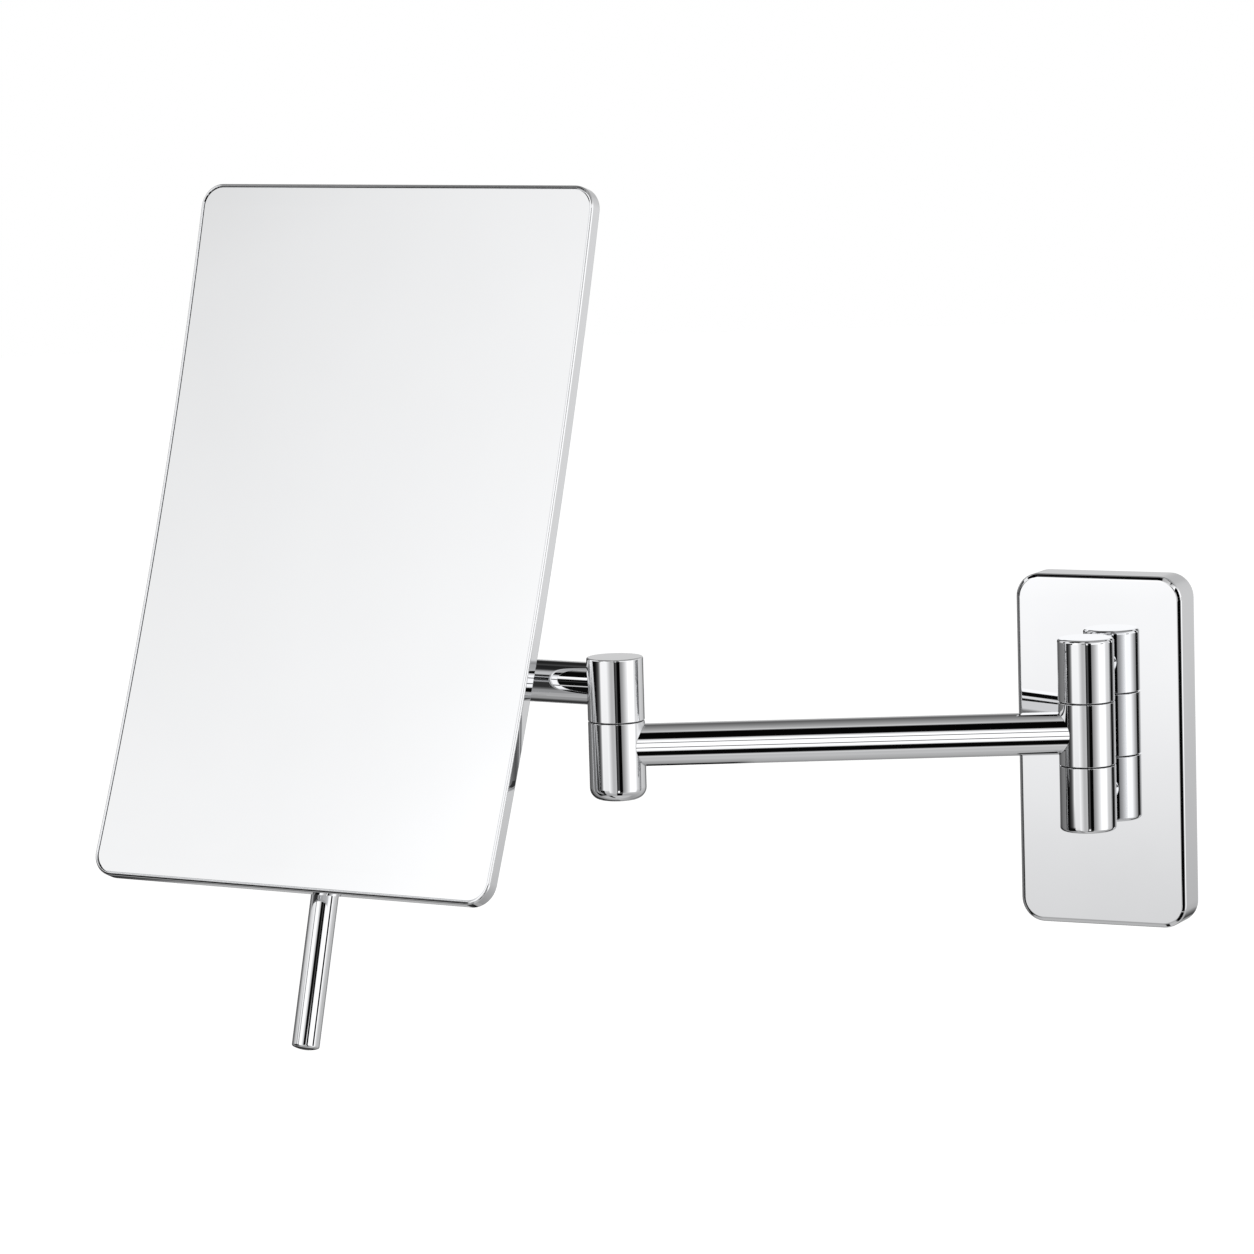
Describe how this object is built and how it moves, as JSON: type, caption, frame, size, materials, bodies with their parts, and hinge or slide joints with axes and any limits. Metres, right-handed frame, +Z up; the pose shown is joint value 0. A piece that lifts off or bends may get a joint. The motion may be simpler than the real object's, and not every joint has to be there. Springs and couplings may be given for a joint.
{
  "type": "extendable shaving mirror",
  "caption": "Wall-mounted shaving mirror: a tall curved rectangular mirror with a rod handle, on a swinging tube arm with an elbow and a tilt joint.",
  "frame": {"origin": "centre of the wall plate's back face, on the wall", "axes": "+Z up, +Y into the wall, +X to the right of a person facing the wall"},
  "size_m": [0.3798, 0.1417, 0.3056],
  "materials": {
    "polished_chrome": "polished chrome plate",
    "silvered_glass": "silvered glass",
    "plated_steel": "zinc-plated steel",
    "spring_steel": "blued spring steel",
    "plug_brass": "turned brass",
    "dark_nylon": "moulded nylon",
    "foam_tape": "closed-cell foam tape"
  },
  "bodies": {
    "wall_plate": {"wall_cover": "polished_chrome", "wall_bracket": "plated_steel", "cover_grub_screw": "plated_steel", "neck_washers": "plated_steel", "neck_screws": "plated_steel", "upper_knuckle": "polished_chrome", "lower_knuckle": "polished_chrome", "hinge_bolt": "plated_steel", "hinge_spring_washer": "spring_steel", "hinge_lock_nut": "plated_steel", "hinge_top_cap": "polished_chrome", "hinge_bottom_cap": "polished_chrome"},
    "arm": {"middle_knuckle": "polished_chrome", "hinge_upper_bush": "dark_nylon", "hinge_lower_bush": "dark_nylon", "arm_tube": "polished_chrome", "arm_wall_plug": "plug_brass", "arm_wall_stud": "plated_steel", "arm_elbow_plug": "plug_brass", "arm_elbow_stud": "plated_steel", "elbow_lower_barrel": "polished_chrome", "elbow_upper_bush": "dark_nylon", "elbow_lower_bush": "dark_nylon", "elbow_bottom_cap": "polished_chrome"},
    "mirror_carrier": {"elbow_upper_barrel": "polished_chrome", "elbow_bolt": "plated_steel", "elbow_spring_washer": "spring_steel", "tilt_tube": "polished_chrome", "tilt_root_plug": "plug_brass", "tilt_root_stud": "plated_steel", "tilt_end_plug": "plug_brass", "tilt_axle": "plated_steel", "tilt_spring_washer": "spring_steel", "tilt_lock_nut": "plated_steel"},
    "mirror": {"tilt_hub": "polished_chrome", "hub_inner_bush": "dark_nylon", "hub_outer_bush": "dark_nylon", "hub_end_cap": "polished_chrome", "hub_screws": "plated_steel", "mirror_tray": "polished_chrome", "foam_pads": "foam_tape", "mirror_glass": "silvered_glass", "handle_rod": "polished_chrome", "handle_stud": "plated_steel"}
  },
  "joints": [
    {"name": "wall_swing", "type": "hinge", "parent": "wall_plate", "child": "arm", "pos_m": [0, -0.0265, 0.0085], "axis": [0, 0, 1], "range_deg": [-25, 155]},
    {"name": "elbow_swing", "type": "hinge", "parent": "arm", "child": "mirror_carrier", "pos_m": [-0.14954, -0.09623, 0.0085], "axis": [0, 0, -1], "range_deg": [-110, 120]},
    {"name": "mirror_tilt", "type": "hinge", "parent": "mirror_carrier", "child": "mirror", "pos_m": [-0.25944, -0.08468, 0.03], "axis": [-0.9945, 0.1045, 0], "range_deg": [-40, 40]}
  ]
}
